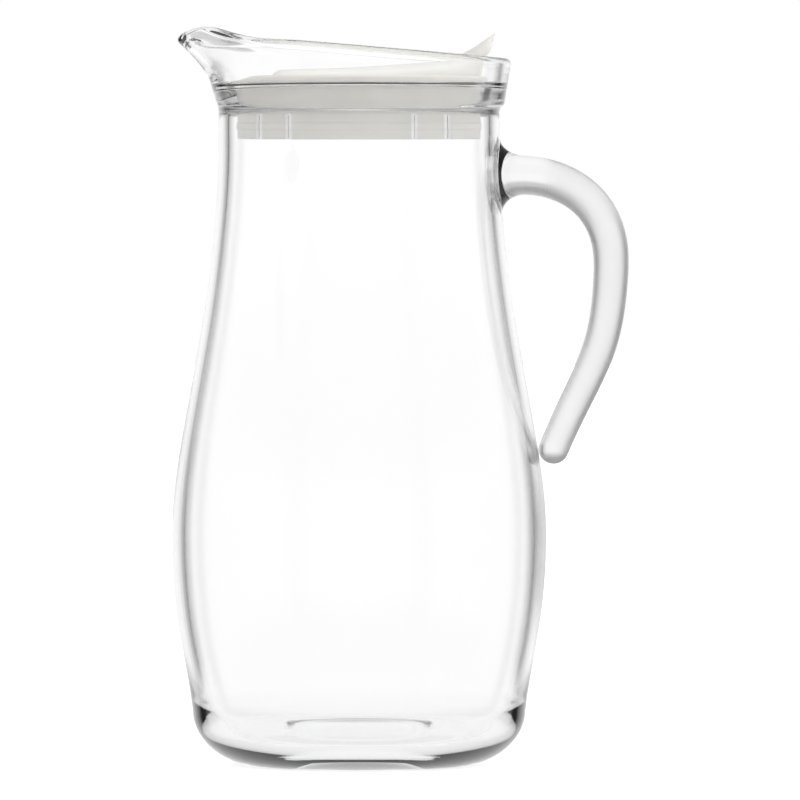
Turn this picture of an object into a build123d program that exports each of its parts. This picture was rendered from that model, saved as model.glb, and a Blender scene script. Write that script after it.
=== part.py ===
"""A large glass water jug: blown body with a pulled spout, solid glass handle, lift-off plastic lid.

Millimetres. The jug's axis is Z and it stands on Z = 0. The handle is towards +X and the spout towards -X.
"""
import os
from math import cos, exp, radians, sin

from build123d import *

os.makedirs("parts", exist_ok=True)

# ---- driving dimensions of the glass body ----
FOOT_OUTER_R = 36.0      # ring that the jug stands on
FOOT_INNER_R = 25.0
RECESS_R = 21.0          # shallow recess inside the foot ring
RECESS_H = 1.2
HEEL_R = 54.9            # body radius just above the rounded heel
HEEL_Z = 16.5
BELLY_R = 61.8           # widest place
BELLY_Z = 76.0
NECK_R = 46.4            # straight neck
NECK_Z = 203.0           # where the shoulder has become the straight neck
WALL_NECK = 3.4
WALL_BELLY = 4.0
FLOOR_Z = 6.8            # inside of the thick base

# ---- collar, ledge and spout ----
COLLAR_Z = 217.6         # underside of the step where the collar begins
COLLAR_R = 47.9          # collar radius at its underside
COLLAR_FLARE = 0.165     # growth of the collar radius per mm of height
STEP_ROUND = 0.6         # rounding at the foot of the collar, inside and outside corner
LEDGE_Z = 224.6          # ledge that the lid rests on
LEDGE_BORE_R = 40.8      # bore of the ledge ring
POCKET_R = 46.0          # inside of the collar just above the ledge
POCKET_FLARE = 0.11
SPOUT_REACH = 8.3        # how far the lip stands out past the collar
BEAK_SPREAD = 13.5       # angular half width of the spout's beak, degrees
SPOUT_LEVELS = (LEDGE_Z, 229.0, 233.0, 237.0, 241.0, 248.0)   # made taller, then cut to the rim line
RIM_ROUND = 1.2          # fire-polished rounding of the rim

# ---- handle ----
ROD_TOP_HEIGHT = 13.0    # the rod at the neck, measured in the plane of the handle
ROD_TOP_DEPTH = 15.0     # and across it
HANDLE_END_R = 5.0       # round lower end
ROD_STATIONS = 9
ROOT_END_X = 56.0        # the flare at the neck ends here
ROOT_LENGTH = 12.0
ROOT_FLARE = 8.0
ROOT_STATIONS = 4

# ---- lid ----
PLATE_R = 42.4
PLATE_T = 2.2
PLATE_TOP_Z = 228.0
PLATE_EDGE_T = 1.6
SKIRT_R = 40.1
SKIRT_T = 1.9
SKIRT_Z = 206.6          # lower edge of the skirt
BEAD_Z = 210.9
BEAD_H = 2.6
BEAD_PROUD = 0.35
TONGUE_ANGLES = (54.5, 133, -133, -54.5)
TONGUE_SPAN = 18.4       # degrees between the two slits of one snap tongue
SLIT_W = 1.1
SLIT_TOP_Z = 214.6
GRIP_W = 31.0            # width of the raised grip
GRIP_FRONT_X = -29.5
GRIP_BACK_X = 39.6       # back wall of the grip; the thumb tab overhangs it
TAB_TIP = (44.9, 241.6)
GRIP_SKIN = 2.0
STRAINER_R = 34.2        # middle radius of the strainer slots
STRAINER_SLOTS = 9
SLOT_L = 6.4
SLOT_W = 2.6


def spout_reach(z):
    """How far the spout's outside stands out past the collar at height z."""
    rise = min(max((z - 225.5) / 13.0, 0.0), 1.0)
    return SPOUT_REACH * rise ** 1.45


def channel_reach(z):
    """The same for the inside of the spout, which is thinner walled at its lip."""
    rise = min(max((z - 228.0) / 11.5, 0.0), 1.0)
    return (SPOUT_REACH + 0.8) * rise ** 1.3


def beaked_outline(z, radius, reach):
    """A level sketch at height z: a circle about the axis, drawn out to a beak towards -X."""
    points = []
    for step in (-60, -38, -24, -15, -7, 0, 7, 15, 24, 38, 60):
        angle = radians(180 + step)
        r = radius + reach * exp(-((step / BEAK_SPREAD) ** 2))
        points.append((r * cos(angle), r * sin(angle)))
    with BuildSketch(Plane.XY.offset(z)) as outline:
        with BuildLine():
            far_side = ThreePointArc(points[-1], (radius, 0), points[0])
            Spline(*points, tangents=(far_side % 1, far_side % 0))
        make_face()
    return outline.sketch


# ---- outer form of the body without its cavity, also used to shape the handle's joint ----
with BuildPart() as body_form:
    with BuildSketch(Plane.XZ) as form_profile:
        with BuildLine():
            Polyline((0, LEDGE_Z), (0, RECESS_H), (RECESS_R, RECESS_H * 0.8), (FOOT_INNER_R, 0),
                     (FOOT_OUTER_R, 0))
            heel = Spline((FOOT_OUTER_R, 0), (48.9, 5.7), (HEEL_R, HEEL_Z),
                          tangents=((1, 0.12), (0.09, 1)))
            belly = Spline(heel @ 1, (59.6, 46), (BELLY_R, BELLY_Z), tangents=(heel % 1, (0, 1)))
            shoulder = Spline(belly @ 1, (57.5, 114), (51.4, 148), (47.5, 180), (NECK_R, NECK_Z),
                              tangents=((0, 1), (0, 1)))
            Polyline(shoulder @ 1, (NECK_R, LEDGE_Z), (0, LEDGE_Z))
        make_face()
    revolve(axis=Axis.Z)

# ---- jug_body ----
with BuildPart() as jug_body:
    add(body_form.part)
    # collar and the outside of the spout
    loft([beaked_outline(z, COLLAR_R + COLLAR_FLARE * (z - COLLAR_Z), spout_reach(z))
          for z in (COLLAR_Z, *SPOUT_LEVELS)])
    step_edges = jug_body.edges().filter_by_position(Axis.Z, COLLAR_Z - 0.05, COLLAR_Z + 0.05)
    fillet(step_edges, STEP_ROUND)
    # pocket above the ledge and the inside of the spout
    loft([beaked_outline(z, POCKET_R + POCKET_FLARE * (z - LEDGE_Z), channel_reach(z))
          for z in SPOUT_LEVELS], mode=Mode.SUBTRACT)
    # main cavity, neck and the bore of the ledge ring
    with BuildSketch(Plane.XZ) as cavity_profile:
        with BuildLine():
            Polyline((0, LEDGE_Z), (0, FLOOR_Z), (36, FLOOR_Z + 0.3))
            inner_heel = Spline((36, FLOOR_Z + 0.3), (46.3, 11.6), (51.0, 22.5),
                                tangents=((1, 0.03), (0.16, 1)))
            inner_belly = Spline(inner_heel @ 1, (55.6, 46), (BELLY_R - WALL_BELLY, BELLY_Z),
                                 tangents=(inner_heel % 1, (0, 1)))
            inner_shoulder = Spline(inner_belly @ 1, (54.1, 114), (48.3, 148), (44.3, 180),
                                    (NECK_R - WALL_NECK, NECK_Z), tangents=((0, 1), (0, 1)))
            inner_neck = Line(inner_shoulder @ 1, (NECK_R - WALL_NECK, 214.6))
            lead = Spline(inner_neck @ 1, (LEDGE_BORE_R, 218.8), tangents=((0, 1), (0, 1)))
            Polyline(lead @ 1, (LEDGE_BORE_R, LEDGE_Z), (0, LEDGE_Z))
        make_face()
    revolve(axis=Axis.Z, mode=Mode.SUBTRACT)
    # rim line in side view: low at the handle, rising to the spout's side lobes, dipping at the lip
    with BuildSketch(Plane.XZ) as above_rim:
        with BuildLine():
            slope = Line((70, 231.4), (-18, 238.9))
            lobe = Spline(slope @ 1, (-36, 240.3), (-45, 242.8), (-52, 244.1), (-57, 241.9), (-64, 234.6),
                          tangents=(slope % 1, (-0.6, -1)))
            Polyline(lobe @ 1, (-70, 234.6), (-70, 255), (70, 255), slope @ 0)
        make_face()
    extrude(amount=80, both=True, mode=Mode.SUBTRACT)
    rim_edges = [edge for edge in jug_body.edges() if edge.bounding_box().min.Z > 232 and edge.length > 5]
    fillet(rim_edges, RIM_ROUND)

jug_body.part.label = "jug_body"
export_step(jug_body.part, "parts/jug_body.step")

# ---- handle: solid glass rod, flared where it is fused to the neck, its lower end against the belly ----
with BuildPart() as handle:
    with BuildLine(Plane.XZ) as handle_line:
        Spline((ROOT_END_X, 194.6), (67.0, 192.0), (76.9, 184.8), (82.4, 173.5), (83.0, 160),
               (79.3, 138), (71.6, 120.5), (64.0, 104.5), tangents=((1, -0.06), (-0.42, -1)))
    rod = handle_line.line
    for station in range(ROD_STATIONS + 1):
        along = station / ROD_STATIONS
        half_height = ROD_TOP_HEIGHT / 2 - (ROD_TOP_HEIGHT / 2 - HANDLE_END_R) * along ** 0.8
        half_depth = ROD_TOP_DEPTH / 2 - (ROD_TOP_DEPTH / 2 - HANDLE_END_R) * along ** 0.8
        with BuildSketch(Plane(origin=rod @ along, x_dir=(0, 1, 0), z_dir=rod % along)):
            Ellipse(half_depth, half_height)
    loft()
    with Locations(Plane(origin=rod @ 1, z_dir=rod % 1)):
        Sphere(HANDLE_END_R, arc_size1=0, align=(Align.CENTER, Align.CENTER, Align.MIN))
    root_axis = rod % 0
    for station in range(ROOT_STATIONS + 1):
        back = station / ROOT_STATIONS
        grown = ROOT_FLARE * back ** 2.2
        with BuildSketch(Plane(origin=rod @ 0 - root_axis * (back * ROOT_LENGTH), x_dir=(0, 1, 0),
                               z_dir=root_axis)):
            Ellipse(ROD_TOP_DEPTH / 2 + grown, ROD_TOP_HEIGHT / 2 + grown)
    loft()
    add(body_form.part, mode=Mode.SUBTRACT)

handle.part.label = "handle"
export_step(handle.part, "parts/handle.step")

# ---- outer form of the lid's raised grip, which ends in the thumb tab over the handle ----
with BuildPart() as grip_form:
    with BuildSketch(Plane.XZ) as grip_profile:
        with BuildLine():
            crest = Spline((GRIP_FRONT_X + 3.5, 230.6), (6, 232.0), (24, 233.2), (33, 234.5), (39, 237.6),
                           TAB_TIP, tangents=((1, 0.03), (1, 0.6)))
            nose = Spline((GRIP_FRONT_X, 227.0), crest @ 0, tangents=((0, 1), (1, 0.03)))
            tip = Line(crest @ 1, (44.4, 239.7))
            under_tab = Spline(tip @ 1, (42.3, 235.6), (GRIP_BACK_X, 231.6), tangents=((-0.3, -1), (-0.3, -1)))
            Polyline(under_tab @ 1, (GRIP_BACK_X, 227.0), nose @ 0)
        make_face()
    extrude(amount=GRIP_W, both=True)
    with BuildSketch(Plane.XY.offset(226.0)) as grip_plan:
        with Locations(((GRIP_FRONT_X + 46.5) / 2, 0)):
            RectangleRounded(46.5 - GRIP_FRONT_X, GRIP_W, 11.0)
    extrude(amount=20, mode=Mode.INTERSECT)

# ---- lid ----
with BuildPart() as lid:
    with BuildSketch(Plane.XZ) as lid_profile:
        with BuildLine():
            top = Line((0, PLATE_TOP_Z), (32, PLATE_TOP_Z))
            brim = Spline(top @ 1, (PLATE_R - 0.8, LEDGE_Z + PLATE_EDGE_T + 0.5), tangents=((1, 0), (1, -0.4)))
            edge = Polyline(brim @ 1, (PLATE_R, LEDGE_Z + PLATE_EDGE_T), (PLATE_R, LEDGE_Z),
                            (SKIRT_R, LEDGE_Z), (SKIRT_R, BEAD_Z + BEAD_H / 2))
            bead = ThreePointArc(edge @ 1, (SKIRT_R + BEAD_PROUD, BEAD_Z), (SKIRT_R, BEAD_Z - BEAD_H / 2))
            Polyline(bead @ 1, (SKIRT_R, SKIRT_Z + 0.5), (SKIRT_R - 0.5, SKIRT_Z),
                     (SKIRT_R - SKIRT_T, SKIRT_Z), (SKIRT_R - SKIRT_T, PLATE_TOP_Z - PLATE_T),
                     (0, PLATE_TOP_Z - PLATE_T), top @ 0)
        make_face()
    revolve(axis=Axis.Z)
    add(grip_form.part)
    # the grip is hollow from below, one skin thick
    with BuildSketch(Plane.XZ) as hollow_profile:
        with BuildLine():
            roof = Spline((GRIP_FRONT_X + 4, 228.5), (6, 230.0), (24, 231.2), (GRIP_BACK_X - GRIP_SKIN, 232.8),
                          tangents=((1, 0.03), (1, 0.2)))
            Polyline(roof @ 1, (GRIP_BACK_X - GRIP_SKIN, 225.5), (GRIP_FRONT_X + 4, 225.5), roof @ 0)
        make_face()
    extrude(amount=GRIP_W / 2 - GRIP_SKIN, both=True, mode=Mode.SUBTRACT)
    # strainer slots in the plate, facing the spout
    with BuildSketch(Plane.XY.offset(PLATE_TOP_Z - PLATE_T - 1)) as strainer:
        with PolarLocations(STRAINER_R, STRAINER_SLOTS, start_angle=150, angular_range=60):
            SlotOverall(SLOT_L, SLOT_W)
    extrude(amount=PLATE_T + 2, mode=Mode.SUBTRACT)
    # pairs of slits that free the snap tongues
    for tongue in TONGUE_ANGLES:
        for side in (-1, 1):
            angle = tongue + side * TONGUE_SPAN / 2
            place = (SKIRT_R * cos(radians(angle)), SKIRT_R * sin(radians(angle)), SKIRT_Z - 1)
            with Locations(Location(place, (0, 0, angle))):
                Box(8, SLIT_W, SLIT_TOP_Z - SKIRT_Z + 1, mode=Mode.SUBTRACT,
                    align=(Align.CENTER, Align.CENTER, Align.MIN))

lid.part.label = "lid"
export_step(lid.part, "parts/lid.step")
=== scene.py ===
import math

import bmesh
import bpy
import numpy as np
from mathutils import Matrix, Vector


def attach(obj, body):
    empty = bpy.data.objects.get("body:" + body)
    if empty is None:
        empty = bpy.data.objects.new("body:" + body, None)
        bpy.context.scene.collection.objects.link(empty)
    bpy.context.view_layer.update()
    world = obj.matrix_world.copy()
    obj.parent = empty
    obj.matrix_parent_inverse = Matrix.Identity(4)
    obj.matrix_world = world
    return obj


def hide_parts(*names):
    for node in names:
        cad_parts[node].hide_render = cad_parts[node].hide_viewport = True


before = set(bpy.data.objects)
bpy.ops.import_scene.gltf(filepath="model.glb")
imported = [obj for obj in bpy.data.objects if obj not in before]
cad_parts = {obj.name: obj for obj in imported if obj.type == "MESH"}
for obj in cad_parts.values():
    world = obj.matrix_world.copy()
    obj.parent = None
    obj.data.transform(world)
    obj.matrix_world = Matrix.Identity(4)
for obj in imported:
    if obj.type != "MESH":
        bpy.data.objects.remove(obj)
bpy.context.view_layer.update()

# The visual model of a large clear glass water jug with a white plastic lid. Lengths are in millimetres in
# the dimensions and profiles of the jug and the lid, and become metres when a mesh is made. The jug's axis
# is Z, the handle is towards +X and the spout towards -X.

MM = 0.001

# ---- glass body ----
FOOT_OUTER_R = 36.0
FOOT_INNER_R = 25.0
FOOT_ROUND = 1.2               # reach of the rounding at the edges of the foot ring and the recess
RECESS_R = 21.0
RECESS_H = 1.2
HEEL = (54.9, 16.5)            # radius and height where the rounded heel meets the belly
BELLY = (61.8, 76.0)           # widest place
NECK = (46.4, 203.0)           # narrowest place
WALL_NECK = 3.4
WALL_BELLY = 4.0
FLOOR_Z = 6.8
FLOOR_R = 36.0
FLOOR_RISE = 0.3               # the floor is this much higher at its edge than in the middle
INNER_HEEL = (51.0, 22.5)      # where the inside of the heel meets the inside of the belly
COLLAR_Z = 217.6
COLLAR_R = 47.9
COLLAR_FLARE = 0.165           # growth of the radius per millimetre of height
STEP_ROUND = 0.6               # the soft step under the collar ends this far above COLLAR_Z
STEP_FALL = 2.0                # and starts this far below it
TAPER = 1.2                    # the collar is drawn in below the spout
TAPER_H = 7.5
LEDGE_Z = 224.6
LEDGE_BORE_R = 40.8
LEDGE_BORE_ROUND = 0.5
LEDGE_BORE_ROWS_Z = (222.5, 220.6)
LEDGE_BORE_END_Z = 218.8       # below this the underside of the ledge curves out to the neck
LEDGE_ROOT_Z = 214.6
POCKET_R = 46.0                # the pocket is the inside of the collar, above the ledge
POCKET_FLARE = 0.11
POCKET_FOOT_R = 46.1           # where the chamfer in the ledge's corner starts
LEDGE_CHAMFER = ((0, 0.96), (0.05, 0.865), (0.93, 0.055), (1.1, 0), (1.2, 0))   # (inwards, above the ledge)
POCKET_FOOT_H = 1.1            # height of the pocket's lowest row above the ledge
SPOUT_REACH = 8.3
SPOUT_THINNING = 0.8           # the pocket reaches this much further into the spout
SPOUT_OUTSIDE = (225.5, 13.0, 1.45)   # height where the spout starts to grow, the run to its end, and power
SPOUT_INSIDE = (228.0, 11.5, 1.3)
BEAK_SPREAD = math.radians(13.5)
RIM_ROUND = 2.0
RIM_MEAN_Z = 238.0
RIM_SETTLE_STEPS = 40
LOBE_FULL = math.radians(33)   # the lobes of thicker glass on both sides of the spout
LOBE_END = math.radians(54)
LOBE_Z = 237.4                 # the lobes thicken inwards above this height
LOBE_SLOPE = 0.42
LOBE_BLEND = 0.3
SLICES = 192                   # divisions around the axis
ROW_STEP = 1.4                 # height of one row of faces on the walls
ROW_CLEARANCE = (0.7, 0.4)     # from the heel to the outer wall's first row, and from its last to the step
COLLAR_ROWS = 26
POCKET_ROWS = 24
RIM_ROWS = 16                  # rows over the round rim

# ---- handle ----
ROOT_Z = 194.7                 # height of the handle's root on the neck
ROOT_PATCH = 10                # the body's faces are open this many rows and slices each way from the root
ROOT_END_X = 54.8
ROOT_FLARE = 6.3
ROOT_FLARE_Y = 1.0             # the flare is slight towards the front and back
FLARE_ROWS = 16
ROD_HALF_HEIGHT = (6.5, 5.0)   # at the neck and at the round lower end
ROD_HALF_DEPTH = (7.5, 5.0)
ROD_TAPER_POWER = 0.8
ROD_END_ROWS = 12
CONTACT_GAP = 0.04             # between the handle's lower end and the belly
CONTACT_TOP_Z = 130.0          # the rod can touch the belly only below this height

# ---- lid ----
LID_GAP = 0.03                 # keeps the plate's underside off the glass ledge
PLATE_R = 42.4
PLATE_TOP_Z = 228.0
PLATE_T = 2.2
BRIM_ROUND = 1.1
SPOUT_FALL_X = -32.0           # the plate thins towards the spout from here
SPOUT_FALL_RUN = 10.5
SPOUT_FALL = 1.9
SKIRT_R = 40.1
SKIRT_T = 1.9
SKIRT_Z = 206.6
BEAD_Z = 210.9
BEAD_H = 2.6
BEAD_PROUD = 0.35
TONGUE_ANGLES = (54.5, 133.0, -133.0, -54.5)
TONGUE_SPAN = 18.4
SLIT_W = 0.3
SLIT_TOP_Z = 214.6
SLIT_REACH = 6.0               # each slit is cut this far towards the front and back of its place
GRIP_HALF_W = 15.5
GRIP_FRONT_X = -29.5
GRIP_END_X = 46.5              # where the grip's plan outline would close
GRIP_CORNER_R = 11.0
GRIP_CROWN = (9.0, 4.5)        # width and drop of the rounding along the grip's upper edges
GRIP_SKIN = 2.0
HOLLOW_CROWN = (1.0, 1.0)
LOFT_STATIONS = 90             # sections along the grip
LOFT_FOOT_ROUND = 0.7
STRAINER_R = 34.2
STRAINER_SLOTS = 9
STRAINER_SPAN = 60.0
SLOT_L = 6.4
SLOT_W = 2.6
SLOT_POINTS = 32
SHARP_EDGE = math.radians(32)

# ---- glass: clear and almost without colour, so only long paths through it look dark ----
GLASS_COLOUR = (0.994, 0.995, 0.9945, 1)
GLASS_IOR = 1.5
GLASS_ABSORPTION = 10.0        # per metre of glass
GLASS_TINT = (0.0, 0.02, 0.01, 1)   # the share of each colour that is spared: a trace of green
DRAWN_X = (0.056, 0.066)       # metres; the drawn glass of the handle begins between these
DRAWN_ROUGHNESS = (0.36, 0.46)
STREAK_NOISE = (90.0, 3.0)     # scale per metre, and detail
WAVE_NOISE = (28.0, 1.0)
WAVE_BUMP = (0.25, 0.0001)     # strength, and height in metres

# ---- plastic ----
PLASTIC_CLOUDS = ((0.71, 0.70, 0.67, 1), (0.79, 0.78, 0.75, 1))
# painted highlight: a near-white colour laid on the plastic along the tongues' slits, so that they look lit
SLIT_LIGHT_COLOUR = (0.97, 0.965, 0.95, 1)
PLASTIC_ROUGHNESS = (0.32, 0.46)
PLASTIC_SCATTER = (0.004, 0.0036, 0.003)   # metres that red, green and blue light travel in the plastic
PLASTIC_SCATTER_SHARE = 0.4
CLOUD_NOISE = (60.0, 4.0)
GRAIN_NOISE = (1800.0, 2.0)
GRAIN_BUMP = (0.12, 0.00006)
SLIT_LIGHT_HALF_WIDTH = 1.3               # half width of the painted highlight at the tongues' edges
SLIT_LIGHT_FADE_H = 1.5              # the painted highlight fades out over this height above the slits
# strength of the painted highlight along the slits
SLIT_LIGHT_GAIN = 1.8

# ---- studio: a white light tent; each stop is (degrees, grey level) ----
TENT_LEVEL = 1.1
# from the tent's front or back round to its side, with the dark flags near 40 degrees
TENT_SIDEWAYS = ((0, 1.0), (20, 0.98), (28, 0.82), (34, 0.5), (38, 0.1), (44, 0.1), (52, 0.86), (60, 1.0),
                 (90, 1.0))
TENT_FRONT_FILL = 0.85         # how far light fills in the flags on the front side
FRONT_EDGE = 4.0               # how quickly that fill sets in towards the front
# from straight down, at 0 degrees, to straight up
FLAG_BAND = ((0, 0.0), (72, 0.0), (80, 1.0), (104, 1.0), (116, 0.0), (180, 0.0))   # 1 where the flags stand
TENT_UPRIGHT = ((0, 1.0), (97, 1.0), (106, 0.6), (118, 0.35), (150, 0.45), (180, 0.85))
SOFTBOX_UPRIGHT = ((0, 0.8), (70, 0.88), (100, 1.22), (180, 1.12))   # light on the plastic in open air
GLASSED_UPRIGHT = ((0, 0.9), (60, 1.3), (80, 1.95), (100, 1.95), (120, 1.45), (180, 1.2))   # behind glass
SOFTBOX_LEAN = 0.14            # the handle's side is lit more than the spout's
LIGHT_BOUNCES = 12             # light turns many times inside thick glass
MIRROR_BOUNCES = 6
FLOOR_GREY = 0.93
FLOOR_ROUGHNESS = 0.9
FLOOR_GLOW = 0.55
FLOOR_SPREAD = 6000.0
FLOOR_RINGS = 24
FLOOR_SLICES = 96
FLOOR_SINK = 0.00002           # metres below the foot

# ---- camera, in metres apart from the sensor ----
EYE_Z = 0.216
EYE_DISTANCE = 3.8
VIEW_WIDTH = 0.264
VIEW_CENTRE = (0.0135, 0.0, 0.1205)
SENSOR_WIDTH = 36.0


# ---------------------------------------------------------------- curves

def through(points, start, end, step):
    """Points about `step` apart on the smooth curve through `points`, with the given end directions."""
    p = np.array(points, float)
    chord = np.linalg.norm(np.diff(p, axis=0), axis=1)
    count = len(p)
    system = np.eye(count)
    right = np.zeros_like(p)
    right[0] = np.array(start, float) / np.linalg.norm(start)
    right[-1] = np.array(end, float) / np.linalg.norm(end)
    for i in range(1, count - 1):
        before, after = chord[i - 1], chord[i]
        system[i, i - 1], system[i, i], system[i, i + 1] = after, 2 * (before + after), before
        right[i] = 3 * (after * (p[i] - p[i - 1]) / before + before * (p[i + 1] - p[i]) / after)
    slopes = np.linalg.solve(system, right)
    found = [p[0]]
    for i in range(count - 1):
        length = chord[i]
        for t in np.linspace(0, 1, max(2, round(length / step)) + 1)[1:]:
            found.append((2 * t**3 - 3 * t**2 + 1) * p[i] + (t**3 - 2 * t**2 + t) * length * slopes[i]
                         + (3 * t**2 - 2 * t**3) * p[i + 1] + (t**3 - t**2) * length * slopes[i + 1])
    return np.array(found)


def corner(before, at, after, radius, count=4):
    """Points on an arc-like rounding of the corner `at` between two neighbouring points."""
    before, at, after = (np.array(q, float) for q in (before, at, after))
    one = at + (before - at) / np.linalg.norm(before - at) * radius
    two = at + (after - at) / np.linalg.norm(after - at) * radius
    t = np.linspace(0, 1, count + 1)[:, None]
    return (1 - t) ** 2 * one + 2 * t * (1 - t) * at + t**2 * two


def even_points(curve, count):
    """`count` points evenly spaced along a polyline."""
    run = np.concatenate([[0], np.cumsum(np.linalg.norm(np.diff(curve, axis=0), axis=1))])
    places = np.linspace(0, run[-1], count)
    return np.column_stack([np.interp(places, run, curve[:, k]) for k in range(curve.shape[1])])


def ease(value):
    return value * value * (3 - 2 * value)


# ---------------------------------------------------------------- meshes

class Grid:
    """Collects rings of points and the faces between them."""

    def __init__(self):
        self.points = []
        self.faces = []

    def ring(self, ring_points):
        first = len(self.points)
        self.points.extend(np.asarray(ring_points, float))
        return list(range(first, first + len(ring_points)))

    def bridge(self, one, two, skip=()):
        count = len(one)
        for i in range(count):
            j = (i + 1) % count
            if i not in skip:
                self.faces.append((one[i], one[j], two[j], two[i]))

    def cap(self, ring_ids, point):
        centre = len(self.points)
        self.points.append(np.asarray(point, float))
        count = len(ring_ids)
        for i in range(count):
            self.faces.append((ring_ids[i], ring_ids[(i + 1) % count], centre))

    def mesh_object(self, name):
        """A smooth mesh object in metres, with outward normals."""
        mesh = bpy.data.meshes.new(name)
        mesh.from_pydata([tuple(p) for p in np.array(self.points) * MM], [], self.faces)
        shape = bmesh.new()
        shape.from_mesh(mesh)
        bmesh.ops.recalc_face_normals(shape, faces=shape.faces)
        shape.to_mesh(mesh)
        shape.free()
        mesh.polygons.foreach_set("use_smooth", [True] * len(mesh.polygons))
        made = bpy.data.objects.new(name, mesh)
        bpy.context.scene.collection.objects.link(made)
        return made


def circle(r, z, angles):
    return np.column_stack([r * np.cos(angles), r * np.sin(angles), np.full(len(angles), float(z))])


def combine(target, tools, operation):
    """Boolean of target with each tool; the tools are removed."""
    for tool in tools:
        step = target.modifiers.new("combine", "BOOLEAN")
        step.object = tool
        step.operation = operation
        step.solver = "MANIFOLD"
    graph = bpy.context.evaluated_depsgraph_get()
    mesh = bpy.data.meshes.new_from_object(target.evaluated_get(graph))
    target.modifiers.clear()
    target.data = mesh
    for tool in tools:
        bpy.data.objects.remove(tool)


# ---------------------------------------------------------------- glass body

theta = np.arange(SLICES) * 2 * np.pi / SLICES
beak = np.exp(-((theta - np.pi) / BEAK_SPREAD) ** 2)
under_spout = np.clip(-np.cos(theta), 0, 1) ** 1.5
lobes = ease(np.clip((LOBE_END - np.abs(theta - np.pi)) / (LOBE_END - LOBE_FULL), 0, 1))

inner_belly = (BELLY[0] - WALL_BELLY, BELLY[1])
inner_neck = (NECK[0] - WALL_NECK, NECK[1])

# outlines as radius and height, from the bottom up
heel_curve = through([(FOOT_OUTER_R, 0), (48.9, 5.7), HEEL], (1, 0.12), (0.09, 1), 0.7)
belly_curve = through([HEEL, (59.6, 46), BELLY], (0.09, 1), (0, 1), 0.1)
shoulder_curve = through([BELLY, (57.5, 114), (51.4, 148), (47.5, 180), NECK], (0, 1), (0, 1), 0.1)
outer_wall = np.vstack([belly_curve, shoulder_curve[1:], [(NECK[0], COLLAR_Z)]])

inner_heel_curve = through([(FLOOR_R, FLOOR_Z + FLOOR_RISE), (46.3, 11.6), INNER_HEEL],
                           (1, 0.03), (0.16, 1), 0.5)
inner_belly_curve = through([INNER_HEEL, (55.6, 46), inner_belly], (0.22, 1), (0, 1), 0.1)
inner_shoulder_curve = through([inner_belly, (54.1, 114), (48.3, 148), (44.3, 180), inner_neck],
                               (0, 1), (0, 1), 0.1)
inner_wall = np.vstack([inner_belly_curve, inner_shoulder_curve[1:], [(inner_neck[0], COLLAR_Z)]])

# the rim in side view, as X and height, from before the spout to beyond the handle's side
rim_curve = np.vstack([
    [(70, 231.4)],
    through([(-18, 238.9), (-36, 240.3), (-45, 242.8), (-52, 244.1), (-57, 241.9), (-64, 234.6)],
            (-88, 7.5), (-0.6, -1), 0.2),
])[::-1]


def outer_radius(z):
    return np.interp(z, outer_wall[:, 1], outer_wall[:, 0])


def inner_radius(z):
    return np.interp(z, inner_wall[:, 1], inner_wall[:, 0])


def spout_growth(z, growth):
    """Share of the spout's full reach at height z."""
    start, run, power = growth
    return np.clip((z - start) / run, 0, 1) ** power


def collar_radius(z):
    """Radius of the collar's outside at height z, for each slice."""
    spout = SPOUT_REACH * spout_growth(z, SPOUT_OUTSIDE) * beak
    taper = TAPER * (1 - np.clip((z - COLLAR_Z) / TAPER_H, 0, 1)) * under_spout
    return COLLAR_R + COLLAR_FLARE * (z - COLLAR_Z) + spout - taper


def pocket_radius(z):
    """Radius of the collar's inside at height z, for each slice."""
    spout = (SPOUT_REACH + SPOUT_THINNING) * spout_growth(z, SPOUT_INSIDE) * beak
    above = np.maximum(z - LOBE_Z, 0)
    swell = LOBE_SLOPE * above**2 / (above + LOBE_BLEND) * lobes
    return POCKET_R + POCKET_FLARE * (z - LEDGE_Z) + spout - swell


def wall_top(radius_at):
    """Height at which a wall meets the rim line, for each slice: repeated halfway steps settle on it."""
    z = np.full(SLICES, RIM_MEAN_Z)
    for _ in range(RIM_SETTLE_STEPS):
        z = 0.5 * z + 0.5 * np.interp(radius_at(z) * np.cos(theta), rim_curve[:, 0], rim_curve[:, 1])
    return z


def slanted_ring(radii, heights):
    """Ring with its own radius and height at each slice."""
    return np.column_stack([radii * np.cos(theta), radii * np.sin(theta), heights])


def wall_ring(radius_at, heights):
    """Ring on a wall at those heights."""
    return slanted_ring(radius_at(heights), heights)


def foot_profile():
    """Recess, foot ring and heel."""
    recess_middle = (12, RECESS_H * 0.93)
    recess_edge = (RECESS_R, RECESS_H * 0.8)
    foot_edge = (FOOT_INNER_R, 0)
    return np.vstack([
        [(4, RECESS_H), recess_middle],
        corner(recess_middle, recess_edge, foot_edge, FOOT_ROUND),
        corner(recess_edge, foot_edge, (FOOT_OUTER_R, 0), FOOT_ROUND),
        [(r, 0) for r in (28, 31, 34)],
        heel_curve,
    ])


def collar_rings(top):
    """The soft step under the collar, and the collar's outside up to `top`."""
    low = np.full(SLICES, COLLAR_Z + STEP_ROUND)
    step = through([(0, COLLAR_Z - STEP_FALL), (0.33, COLLAR_Z - 0.6), (1, COLLAR_Z + STEP_ROUND)],
                   (0, 1), (0.1, 1), 0.25)
    reach = collar_radius(low) - NECK[0]
    rings = [slanted_ring(NECK[0] + share * reach, np.full(SLICES, z)) for share, z in step]
    for share in np.linspace(0, 1, COLLAR_ROWS + 1)[1:]:
        rings.append(wall_ring(collar_radius, low + share * (top - low)))
    return rings


def upward(radius_at, top):
    """The direction in which a wall reaches its top, for each slice."""
    rise = wall_ring(radius_at, top) - wall_ring(radius_at, top - 0.5)
    return rise / np.linalg.norm(rise, axis=1)[:, None]


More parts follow.
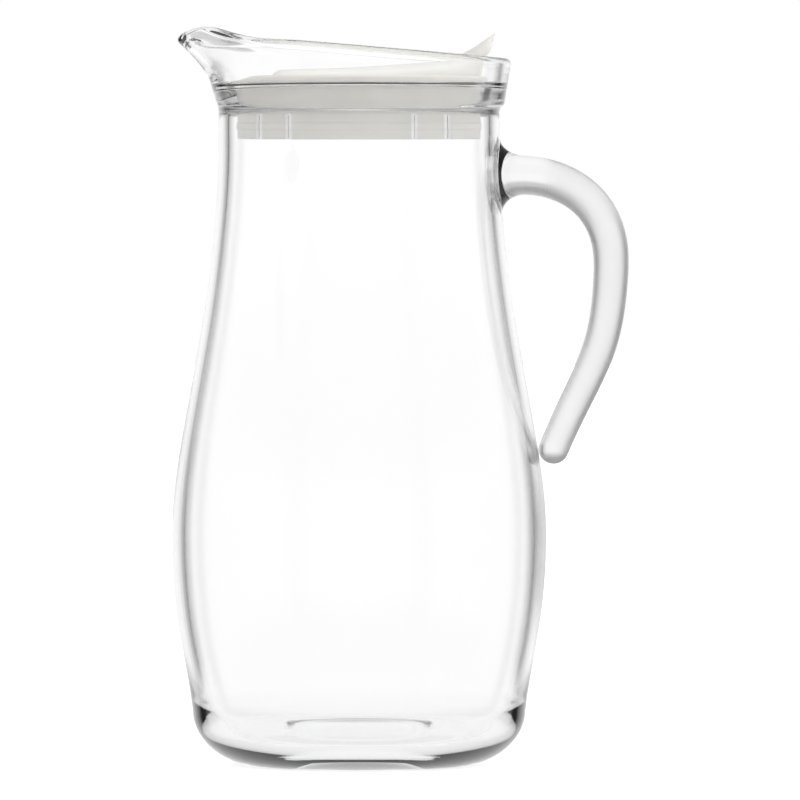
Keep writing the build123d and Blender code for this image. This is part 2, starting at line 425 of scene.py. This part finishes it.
def rim_rings(outer_top, inner_top):
    """The round rim between the two walls; each wall's own direction is kept where it runs into the rim."""
    outside, inside = wall_ring(collar_radius, outer_top), wall_ring(pocket_radius, inner_top)
    outer_up, inner_up = upward(collar_radius, outer_top), upward(pocket_radius, inner_top)
    middle, half_gap = (outside + inside) / 2, (outside - inside) / 2
    rings = []
    for turn in np.linspace(0, math.pi, RIM_ROWS + 1)[1:-1]:
        blend = ease((1 - math.cos(turn)) / 2)
        up = (1 - blend) * outer_up + blend * inner_up
        rings.append(middle + half_gap * math.cos(turn) + up * RIM_ROUND * math.sin(turn))
    return rings


def pocket_rings(top):
    """The collar's inside, from `top` down to just above the ledge."""
    low = LEDGE_Z + POCKET_FOOT_H
    shares = np.linspace(1, 0, POCKET_ROWS + 1)[:-1]
    return [wall_ring(pocket_radius, low + share * (top - low)) for share in shares]


def ledge_profile():
    """The chamfer at the pocket's foot, the ledge, its bore, and the curve from there out to the neck."""
    bore_edge, bore_end = (LEDGE_BORE_R, LEDGE_Z), (LEDGE_BORE_R, LEDGE_BORE_END_Z)
    return np.vstack([
        [(POCKET_FOOT_R - inwards, LEDGE_Z + above) for inwards, above in LEDGE_CHAMFER],
        corner((POCKET_R, LEDGE_Z), bore_edge, bore_end, LEDGE_BORE_ROUND),
        [(LEDGE_BORE_R, z) for z in LEDGE_BORE_ROWS_Z],
        through([bore_end, (inner_neck[0], LEDGE_ROOT_Z)], (0, -1), (0, -1), 0.5),
    ])


def body_rings():
    """Rings from the centre of the base, up the outside, over the rim and down the inside to the floor.

    The rows of the outer wall are counted from the handle's root; the index of the root's ring comes second.
    """
    rings = [circle(r, z, theta) for r, z in foot_profile()]
    low_row = math.ceil((HEEL[1] + ROW_CLEARANCE[0] - ROOT_Z) / ROW_STEP)
    high_row = math.floor((COLLAR_Z - STEP_FALL - ROW_CLEARANCE[1] - ROOT_Z) / ROW_STEP)
    root_ring = len(rings) - low_row
    for row in range(low_row, high_row + 1):
        z = ROOT_Z + row * ROW_STEP
        rings.append(circle(outer_radius(z), z, theta))
    lean = 1.0 / np.sqrt(1 + (collar_radius(237.0) - collar_radius(236.0)) ** 2)
    outer_top = wall_top(collar_radius) - RIM_ROUND * lean
    inner_top = wall_top(pocket_radius) - RIM_ROUND * lean
    rings.extend(collar_rings(outer_top))
    rings.extend(rim_rings(outer_top, inner_top))
    rings.extend(pocket_rings(inner_top))
    rings.extend(circle(r, z, theta) for r, z in ledge_profile())
    for z in np.arange(LEDGE_ROOT_Z - ROW_STEP, INNER_HEEL[1] + 0.5, -ROW_STEP):
        rings.append(circle(inner_radius(z), z, theta))
    rings.extend(circle(r, z, theta) for r, z in inner_heel_curve[::-1])
    for r in (30, 24, 18, 12, 7, 3):
        rings.append(circle(r, FLOOR_Z + FLOOR_RISE * (r / FLOOR_R) ** 2, theta))
    return rings, root_ring


# ---------------------------------------------------------------- handle

def on_neck(y, z):
    """X of the outside of the neck at that place."""
    return np.sqrt(outer_radius(z) ** 2 - y**2)


def flare_rings(opening, turn):
    """Rings from the opening in the body's faces, along the neck and over the flare to the rod."""
    y0, z0 = opening[:, 1], opening[:, 2] - ROOT_Z
    flared_y = (ROD_HALF_DEPTH[0] + ROOT_FLARE_Y) * np.cos(turn)
    flared_z = (ROD_HALF_HEIGHT[0] + ROOT_FLARE) * np.sin(turn)
    rings = []
    for share in (0.3, 0.6, 0.85, 1.0):
        y, z = y0 + share * (flared_y - y0), z0 + share * (flared_z - z0)
        rings.append(np.column_stack([on_neck(y, z + ROOT_Z), y, z + ROOT_Z]))
    rod_y, rod_z = ROD_HALF_DEPTH[0] * np.cos(turn), ROD_HALF_HEIGHT[0] * np.sin(turn)
    reach = ROOT_END_X - on_neck(rod_y, rod_z + ROOT_Z)
    for angle in np.linspace(0, math.pi / 2, FLARE_ROWS + 1)[1:]:
        inward = math.sin(angle)
        y, z = flared_y + inward * (rod_y - flared_y), flared_z + inward * (rod_z - flared_z)
        x = on_neck(y, z + ROOT_Z) + reach * (1 - math.cos(angle))
        rings.append(np.column_stack([x, y, z + ROOT_Z]))
    return rings


def rod_section(centre, ahead, half_height, half_depth, turn):
    """One elliptical ring of the rod, square to its direction in the XZ plane."""
    up = half_height * np.sin(turn)
    return np.column_stack([centre[0] - ahead[1] * up, half_depth * np.cos(turn), centre[1] + ahead[0] * up])


def rod_rings(turn):
    """Rings along the rod and over its round lower end, and the tip."""
    line = through([(ROOT_END_X, ROOT_Z - 0.05), (67.0, 192.0), (76.9, 184.8), (82.4, 173.5), (83.0, 160),
                    (79.3, 138), (71.6, 120.5), (64.2, 104.4)], (1, -0.04), (-0.42, -1), 1.1)
    ahead = np.gradient(line, axis=0)
    ahead /= np.linalg.norm(ahead, axis=1)[:, None]
    along = np.concatenate([[0], np.cumsum(np.linalg.norm(np.diff(line, axis=0), axis=1))])
    along /= along[-1]
    rings = []
    for centre, direction, share in list(zip(line, ahead, along))[1:]:
        taper = share**ROD_TAPER_POWER
        height, depth = (full + (small - full) * taper for full, small in (ROD_HALF_HEIGHT, ROD_HALF_DEPTH))
        rings.append(rod_section(centre, direction, height, depth, turn))
    end, direction, radius = line[-1], ahead[-1], ROD_HALF_HEIGHT[1]
    for angle in np.linspace(0, math.pi / 2, ROD_END_ROWS + 1)[1:-1]:
        spread, out = radius * math.cos(angle), radius * math.sin(angle)
        rings.append(rod_section(end + direction * out, direction, spread, spread, turn))
    tip = end + direction * radius
    return rings, (tip[0], 0.0, tip[1])


def lay_on_belly(rings):
    """Push the rod's lower end out of the belly, so that it lies flat against the glass."""
    for ring in rings:
        away = np.hypot(ring[:, 0], ring[:, 1])
        clear = outer_radius(ring[:, 2]) + CONTACT_GAP
        push = np.where((away < clear) & (ring[:, 2] < CONTACT_TOP_Z), clear / away, 1.0)
        ring[:, 0] *= push
        ring[:, 1] *= push


def handle_rings(opening):
    """Rings from the opening in the body's faces to the handle's lower end, and the tip."""
    y0, z0 = opening[:, 1], opening[:, 2] - ROOT_Z
    turn = np.arctan2(z0 / np.abs(z0).max(), y0 / np.abs(y0).max())
    rod, tip = rod_rings(turn)
    lay_on_belly(rod)
    return flare_rings(opening, turn) + rod, tip


def jug_glass():
    """Body and handle as one closed mesh, because the glass is fused."""
    grid = Grid()
    rings, root_ring = body_rings()
    ids = [grid.ring(ring) for ring in rings]
    low, high, half = root_ring - ROOT_PATCH, root_ring + ROOT_PATCH, ROOT_PATCH
    open_slices = {i % SLICES for i in range(-half, half)}
    for row in range(len(ids) - 1):
        grid.bridge(ids[row], ids[row + 1], open_slices if low <= row < high else ())
    grid.cap(ids[0], (0, 0, RECESS_H))
    grid.cap(ids[-1], (0, 0, FLOOR_Z))
    # walk once around the opening
    last = [ids[low][i % SLICES] for i in range(-half, half)]
    last += [ids[row][half] for row in range(low, high)]
    last += [ids[high][i % SLICES] for i in range(half, -half, -1)]
    last += [ids[row][-half % SLICES] for row in range(high, low, -1)]
    handle, tip = handle_rings(np.array([grid.points[i] for i in last]))
    for ring in handle:
        ring_ids = grid.ring(ring)
        grid.bridge(last, ring_ids)
        last = ring_ids
    grid.cap(last, tip)
    return grid.mesh_object("jug_glass")


# ---------------------------------------------------------------- lid

plate_under_z = PLATE_TOP_Z - PLATE_T


def lid_shell():
    """Plate, skirt and bead as one closed ring-built shell."""
    brim_z = LEDGE_Z + LID_GAP
    inner = SKIRT_R - SKIRT_T
    brim_top, brim_low = (PLATE_R, PLATE_TOP_Z), (PLATE_R, brim_z)
    skirt_top, skirt_low, skirt_inner_low = (SKIRT_R, brim_z), (SKIRT_R, SKIRT_Z), (inner, SKIRT_Z)
    under_edge = (inner, plate_under_z)
    bead_turn = np.linspace(0, math.pi, 9)[:, None]
    bead = np.hstack([SKIRT_R + BEAD_PROUD * np.sin(bead_turn), BEAD_Z + BEAD_H / 2 * np.cos(bead_turn)])
    profile = np.vstack([
        [(r, PLATE_TOP_Z) for r in (3, 10, 20, 28, 31, 33, 35, 37, 39, 40.5)],
        corner((0, PLATE_TOP_Z), brim_top, brim_low, BRIM_ROUND, 6),
        corner(brim_top, brim_low, skirt_top, 0.2),
        corner(brim_low, skirt_top, skirt_low, 0.35),
        [(SKIRT_R, z) for z in (220, 216)],
        bead,
        corner(skirt_top, skirt_low, skirt_inner_low, 0.5),
        corner(skirt_low, skirt_inner_low, under_edge, 0.5),
        [(inner, z) for z in (212, 218)],
        corner(skirt_inner_low, under_edge, (0, plate_under_z), 0.8),
        [(r, plate_under_z) for r in (30, 20, 10, 3)],
    ])
    grid = Grid()
    ids = [grid.ring(circle(r, z, theta)) for r, z in profile]
    for one, two in zip(ids, ids[1:]):
        grid.bridge(one, two)
    grid.cap(ids[0], (0, 0, PLATE_TOP_Z))
    grid.cap(ids[-1], (0, 0, plate_under_z))
    # the top falls away towards the spout
    for point in grid.points:
        if point[2] > PLATE_TOP_Z - BRIM_ROUND - 0.01:
            point[2] -= SPOUT_FALL * ease(min(max((SPOUT_FALL_X - point[0]) / SPOUT_FALL_RUN, 0.0), 1.0))
    return grid.mesh_object("lid_cover")


def grip_half_width(x):
    """Half width of the grip in plan: a rounded rectangle."""
    front = np.clip(GRIP_FRONT_X + GRIP_CORNER_R - x, 0, GRIP_CORNER_R)
    back = np.clip(x - GRIP_END_X + GRIP_CORNER_R, 0, GRIP_CORNER_R)
    inset = GRIP_CORNER_R - np.sqrt(GRIP_CORNER_R**2 - np.maximum(front, back) ** 2)
    return GRIP_HALF_W - inset


def grip_section(height, wide_low, wide_top, crown):
    """Closed outline, as Y and rise, of a section that is rounded at its foot and more so at its crown."""
    foot = min(LOFT_FOOT_ROUND, 0.48 * height)
    crown_drop = min(crown[1], 0.75 * height)
    crown_run = crown[0] * crown_drop / crown[1]
    upright = height - crown_drop - foot
    steps = [(-foot + foot * math.cos(a), foot + foot * math.sin(a))
             for a in np.linspace(-math.pi / 2, 0, 4)]
    steps += [(0, foot + upright * k / 4) for k in (1, 2, 3)]
    steps += [(-crown_run + crown_run * math.cos(a), height - crown_drop + crown_drop * math.sin(a))
              for a in np.linspace(0, math.pi / 2, 10)]
    half = [(wide_low + (wide_top - wide_low) * rise / height + across, rise) for across, rise in steps]
    return half + [(-y, rise) for y, rise in half[::-1]]


def grip_shape(name, crest, keel, shrink, crown):
    """A closed body between a crest line and a keel line in the XZ plane, as wide as the plan allows."""
    grid = Grid()
    last = None
    for top, low in zip(even_points(crest, LOFT_STATIONS), even_points(keel, LOFT_STATIONS)):
        height = np.linalg.norm(top - low)
        up = (top - low) / height
        wide_low, wide_top = grip_half_width(low[0]) - shrink, grip_half_width(top[0]) - shrink
        section = grip_section(height, wide_low, wide_top, crown)
        ring = [(low[0] + up[0] * rise, y, low[1] + up[1] * rise) for y, rise in section]
        ring_ids = grid.ring(ring)
        if last is None:
            grid.cap(ring_ids, np.mean(ring, axis=0))
        else:
            grid.bridge(last, ring_ids)
        last = ring_ids
    grid.cap(last, np.mean(ring, axis=0))
    return grid.mesh_object(name)


def grip():
    """The raised grip, which ends in the thumb tab over the handle."""
    shoulder = (GRIP_FRONT_X + 4.0, 230.6)
    crest = np.vstack([
        through([(GRIP_FRONT_X + 0.4, 227.4), shoulder], (0, 1), (1, 0.03), 0.4),
        through([shoulder, (6, 232.0), (24, 233.2), (33, 234.5), (39, 237.6), (44.8, 241.5)],
                (1, 0.03), (1, 0.6), 0.5)[1:]])
    keel = np.vstack([
        [(GRIP_FRONT_X + 0.4, 227.0), (0, 227.0), (37.6, 227.0), (39.4, 227.6)],
        through([(39.8, 230.6), (42.9, 235.2), (44.6, 240.8)], (0.3, 1), (0.15, 1), 0.5)])
    return grip_shape("grip", crest, keel, 0.0, GRIP_CROWN)


def grip_hollow():
    """The space under the grip, open downwards through the plate."""
    front_x = GRIP_FRONT_X + 4
    roof = through([(front_x, 228.5), (6, 230.0), (24, 231.2), (37.4, 232.6)], (1, 0.03), (1, 0.2), 1.0)
    opening = np.array([(front_x, 225.2), (37.5, 225.2)])
    return grip_shape("hollow", roof, opening, GRIP_SKIN, HOLLOW_CROWN)


def prism(name, outline, levels):
    """A closed body with the same outline at each level; a level is (height, growth of the outline)."""
    outline = np.array(outline, float)
    outward = outline - outline.mean(axis=0)
    outward /= np.linalg.norm(outward, axis=1)[:, None]
    grid = Grid()
    ids = [grid.ring(np.column_stack([outline + outward * grow, np.full(len(outline), z)]))
           for z, grow in levels]
    for one, two in zip(ids, ids[1:]):
        grid.bridge(one, two)
    grid.faces.append(tuple(ids[0]))
    grid.faces.append(tuple(ids[-1]))
    return grid.mesh_object(name)


def strainer_slots():
    """Round-ended slots in an arc before the spout, with eased edges above and below."""
    under, top = plate_under_z, PLATE_TOP_Z
    levels = [(under - 1, 0.7), (under - 0.05, 0.35), (under + 0.3, 0),
              (top - 0.35, 0), (top + 0.05, 0.4), (top + 1, 0.9)]
    slots = []
    for i in range(STRAINER_SLOTS):
        angle = math.radians(180 - STRAINER_SPAN / 2 + i * STRAINER_SPAN / (STRAINER_SLOTS - 1))
        out = np.array([math.cos(angle), math.sin(angle)])
        across = np.array([-math.sin(angle), math.cos(angle)])
        outline = []
        for a in np.linspace(0, 2 * math.pi, SLOT_POINTS + 1)[:-1]:
            end_shift = math.copysign((SLOT_L - SLOT_W) / 2, math.cos(a))
            distance = STRAINER_R + end_shift + SLOT_W / 2 * math.cos(a)
            outline.append(out * distance + across * SLOT_W / 2 * math.sin(a))
        slots.append(prism("slot", outline, levels))
    return slots


def tongue_edges(tongues):
    """Angles of both edges of each tongue."""
    return [math.radians(tongue + side * TONGUE_SPAN) for tongue in tongues for side in (-0.5, 0.5)]


def tongue_slits():
    """Two slits through the skirt beside each tongue, cut straight from the front or the back."""
    slits = []
    for angle in tongue_edges(TONGUE_ANGLES):
        x, y = SKIRT_R * math.cos(angle), SKIRT_R * math.sin(angle)
        left, right, away = x - SLIT_W / 2, x + SLIT_W / 2, math.copysign(SLIT_REACH, y)
        outline = [(left, y - away), (right, y - away), (right, y + away), (left, y + away)]
        slits.append(prism("slit", outline, [(SKIRT_Z - 1, 0), (SLIT_TOP_Z, 0)]))
    return slits


def lid_cover():
    lid = lid_shell()
    combine(lid, [grip()], "UNION")
    combine(lid, [grip_hollow()] + strainer_slots() + tongue_slits(), "DIFFERENCE")
    lid.data.polygons.foreach_set("use_smooth", [True] * len(lid.data.polygons))
    lid.data.set_sharp_from_angle(angle=SHARP_EDGE)
    return lid


# ---------------------------------------------------------------- node trees

class Wiring:
    """Adds nodes to a node tree. Each input is given as a constant or as another node's output."""

    def __init__(self, tree):
        self.nodes = tree.nodes
        self.links = tree.links

    def feed(self, node, inputs):
        for key, value in inputs.items():
            if isinstance(value, bpy.types.NodeSocket):
                self.links.new(value, node.inputs[key])
            else:
                node.inputs[key].default_value = value

    def add(self, kind, inputs=None, **settings):
        made = self.nodes.new(kind)
        for key, value in settings.items():
            setattr(made, key, value)
        self.feed(made, inputs or {})
        return made

    def maths(self, operation, *values):
        return self.add("ShaderNodeMath", dict(enumerate(values)), operation=operation).outputs[0]

    def noise(self, vector, scale, detail):
        inputs = {"Vector": vector, "Scale": scale, "Detail": detail}
        return self.add("ShaderNodeTexNoise", inputs).outputs["Fac"]

    def map_range(self, value, given, wanted, **settings):
        """Value moved from the range `given` to the range `wanted`."""
        inputs = {"Value": value, "From Min": given[0], "From Max": given[1],
                  "To Min": wanted[0], "To Max": wanted[1]}
        return self.add("ShaderNodeMapRange", inputs, **settings).outputs["Result"]

    def mix(self, factor, one, two):
        """Colour between one and two."""
        inputs = {"Factor": factor, "A": one, "B": two}
        return self.add("ShaderNodeMix", inputs, data_type="RGBA").outputs["Result"]

    def bump(self, height, strength, distance):
        inputs = {"Height": height, "Strength": strength, "Distance": distance}
        return self.add("ShaderNodeBump", inputs).outputs["Normal"]


def new_material(name):
    material = bpy.data.materials.new(name)
    material.use_nodes = True
    return material, Wiring(material.node_tree), material.node_tree.nodes["Principled BSDF"]


def glass_material():
    material, wiring, shader = new_material("clear_glass")
    place = wiring.add("ShaderNodeTexCoord").outputs["Object"]
    x = wiring.add("ShaderNodeSeparateXYZ", {0: place}).outputs["X"]
    # the drawn handle is less clear than the moulded body
    drawn = wiring.map_range(x, DRAWN_X, (0.0, 1.0), interpolation_type="SMOOTHSTEP")
    streaks = wiring.map_range(wiring.noise(place, *STREAK_NOISE), (0.3, 0.7), DRAWN_ROUGHNESS)
    waves = wiring.noise(place, *WAVE_NOISE)
    wiring.feed(shader, {
        "Base Color": GLASS_COLOUR,
        "Transmission Weight": 1.0,
        "IOR": GLASS_IOR,
        "Roughness": wiring.maths("MULTIPLY", drawn, streaks),
        "Normal": wiring.bump(waves, *WAVE_BUMP),
    })
    absorption = wiring.add("ShaderNodeVolumeAbsorption", {"Color": GLASS_TINT, "Density": GLASS_ABSORPTION})
    wiring.feed(wiring.nodes["Material Output"], {"Volume": absorption.outputs["Volume"]})
    return material


def painted_slit_light(wiring, place):
    """Painted highlight: 1 along the edges of the tongues, where the slits are made to look lit, and 0 away
    from them.
    """
    axes = wiring.add("ShaderNodeSeparateXYZ", {0: place}).outputs
    painted_light = 0.0
    # the tongues at the back mirror those at the front, so two of the four stand for all
    for angle in tongue_edges(TONGUE_ANGLES[:2]):
        off = wiring.maths("ABSOLUTE", wiring.maths("SUBTRACT", axes["X"], SKIRT_R * MM * math.cos(angle)))
        strip = wiring.maths("SUBTRACT", 1.0, wiring.maths("DIVIDE", off, SLIT_LIGHT_HALF_WIDTH * MM))
        painted_light = wiring.maths("MAXIMUM", strip, painted_light)
    fade = wiring.map_range(axes["Z"], ((SLIT_TOP_Z + SLIT_LIGHT_FADE_H) * MM, SLIT_TOP_Z * MM), (0.0, 1.0))
    raised = wiring.maths("MULTIPLY", wiring.maths("MULTIPLY", painted_light, fade), SLIT_LIGHT_GAIN)
    return wiring.maths("MINIMUM", raised, 1.0)


def plastic_material():
    material, wiring, shader = new_material("white_plastic")
    place = wiring.add("ShaderNodeTexCoord").outputs["Object"]
    clouds = wiring.noise(place, *CLOUD_NOISE)
    cloudy = wiring.mix(clouds, *PLASTIC_CLOUDS)
    grain = wiring.noise(place, *GRAIN_NOISE)
    wiring.feed(shader, {
        # the cloudy plastic is whitened along the slits by the painted highlight
        "Base Color": wiring.mix(painted_slit_light(wiring, place), cloudy, SLIT_LIGHT_COLOUR),
        "Roughness": wiring.map_range(clouds, (0.0, 1.0), PLASTIC_ROUGHNESS),
        "Normal": wiring.bump(grain, *GRAIN_BUMP),
        "Subsurface Weight": PLASTIC_SCATTER_SHARE,
        "Subsurface Radius": PLASTIC_SCATTER,
        "Subsurface Scale": 1.0,
    })
    return material


# ---------------------------------------------------------------- the pieces

glass = jug_glass()
glass.data.materials.append(glass_material())
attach(glass, "jug")
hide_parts("jug_body", "handle")

cover = lid_cover()
cover.data.materials.clear()
cover.data.materials.append(plastic_material())
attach(cover, "lid")
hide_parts("lid")


# ---------------------------------------------------------------- studio

def grey_curve(wiring, degrees, span, stops):
    """Grey level at that many degrees out of span, eased between the (degrees, grey) stops."""
    made = wiring.add("ShaderNodeValToRGB", {0: wiring.maths("DIVIDE", degrees, span)})
    made.color_ramp.interpolation = "EASE"
    steps = made.color_ramp.elements
    while len(steps) < len(stops):
        steps.new(0.5)
    for step, (at, grey) in zip(steps, stops):
        step.position = at / span
        step.color = (grey, grey, grey, 1)
    return made.outputs[0]


def studio_world():
    """A white light tent with dark flags standing around it, which draw the dark edges in clear glass.

    Scattered light, which is what the plastic shows, comes from a softbox instead, and what is seen past
    the jug is plain white.
    """
    world = bpy.data.worlds.new("studio")
    bpy.context.scene.world = world
    world.use_nodes = True
    world.node_tree.nodes.clear()
    wiring = Wiring(world.node_tree)
    maths = wiring.maths

    place = wiring.add("ShaderNodeTexCoord").outputs["Generated"]
    axes = wiring.add("ShaderNodeSeparateXYZ", {0: place}).outputs
    turned = maths("ARCTAN2", maths("ABSOLUTE", axes["X"]), maths("ABSOLUTE", axes["Y"]))
    off_axis = maths("MULTIPLY", turned, 180 / math.pi)
    height = maths("MULTIPLY", maths("ARCSINE", axes["Z"]), 180 / math.pi)
    from_down = maths("ADD", height, 90.0)

    sideways = grey_curve(wiring, off_axis, 90.0, TENT_SIDEWAYS)
    front = maths("MINIMUM", 1.0, maths("MAXIMUM", 0.0, maths("MULTIPLY", axes["Y"], -FRONT_EDGE)))
    fill = maths("MULTIPLY", maths("MULTIPLY", front, TENT_FRONT_FILL), maths("SUBTRACT", 1.0, sideways))
    darkened = maths("SUBTRACT", 1.0, maths("ADD", sideways, fill))
    flags = maths("MULTIPLY", darkened, grey_curve(wiring, from_down, 180.0, FLAG_BAND))
    upright = grey_curve(wiring, from_down, 180.0, TENT_UPRIGHT)
    level = maths("MULTIPLY", maths("SUBTRACT", 1.0, flags), upright)
    tent = wiring.add("ShaderNodeBackground", {"Color": level, "Strength": TENT_LEVEL})

    path = wiring.add("ShaderNodeLightPath").outputs
    behind_glass = maths("GREATER_THAN", path["Transmission Depth"], 0.5)
    soft = wiring.mix(behind_glass, grey_curve(wiring, from_down, 180.0, SOFTBOX_UPRIGHT),
                      grey_curve(wiring, from_down, 180.0, GLASSED_UPRIGHT))
    lean = maths("ADD", maths("MULTIPLY", axes["X"], SOFTBOX_LEAN), 1.0)
    softbox = wiring.add("ShaderNodeBackground", {"Color": soft, "Strength": lean})
    backdrop = wiring.add("ShaderNodeBackground", {"Color": (1, 1, 1, 1)})

    scattered = maths("GREATER_THAN", path["Diffuse Depth"], 0.5)
    lit = wiring.add("ShaderNodeMixShader", {0: scattered, 1: tent.outputs[0], 2: softbox.outputs[0]})
    seen = path["Is Camera Ray"]
    shown = wiring.add("ShaderNodeMixShader", {0: seen, 1: lit.outputs[0], 2: backdrop.outputs[0]})
    wiring.add("ShaderNodeOutputWorld", {"Surface": shown.outputs[0]})


def studio_floor():
    grid = Grid()
    angles = np.arange(FLOOR_SLICES) * 2 * np.pi / FLOOR_SLICES
    ids = [grid.ring(circle(FLOOR_SPREAD * (k / FLOOR_RINGS) ** 2, 0, angles))
           for k in range(1, FLOOR_RINGS + 1)]
    for one, two in zip(ids, ids[1:]):
        grid.bridge(one, two)
    grid.cap(ids[0], (0, 0, 0))
    floor = grid.mesh_object("studio_floor")
    floor.location.z = -FLOOR_SINK
    material, wiring, shader = new_material("pale_floor")
    wiring.feed(shader, {
        "Base Color": (FLOOR_GREY, FLOOR_GREY, FLOOR_GREY, 1),
        "Roughness": FLOOR_ROUGHNESS,
        "Emission Color": (1, 1, 1, 1),
        "Emission Strength": FLOOR_GLOW,
    })
    floor.data.materials.append(material)
    floor.visible_transmission = False
    floor.visible_glossy = False


def studio_camera():
    target = Vector(VIEW_CENTRE)
    data = bpy.data.cameras.new("camera")
    data.sensor_width = SENSOR_WIDTH
    data.lens = SENSOR_WIDTH * EYE_DISTANCE / VIEW_WIDTH
    data.clip_end = 100.0
    camera = bpy.data.objects.new("camera", data)
    bpy.context.scene.collection.objects.link(camera)
    camera.location = (target.x, -EYE_DISTANCE, EYE_Z)
    camera.rotation_euler = (target - camera.location).to_track_quat("-Z", "Y").to_euler()
    bpy.context.scene.camera = camera


studio_world()
studio_floor()
studio_camera()
bpy.context.scene.view_settings.view_transform = "Standard"
bpy.context.scene.cycles.max_bounces = LIGHT_BOUNCES
bpy.context.scene.cycles.transmission_bounces = LIGHT_BOUNCES
bpy.context.scene.cycles.glossy_bounces = MIRROR_BOUNCES
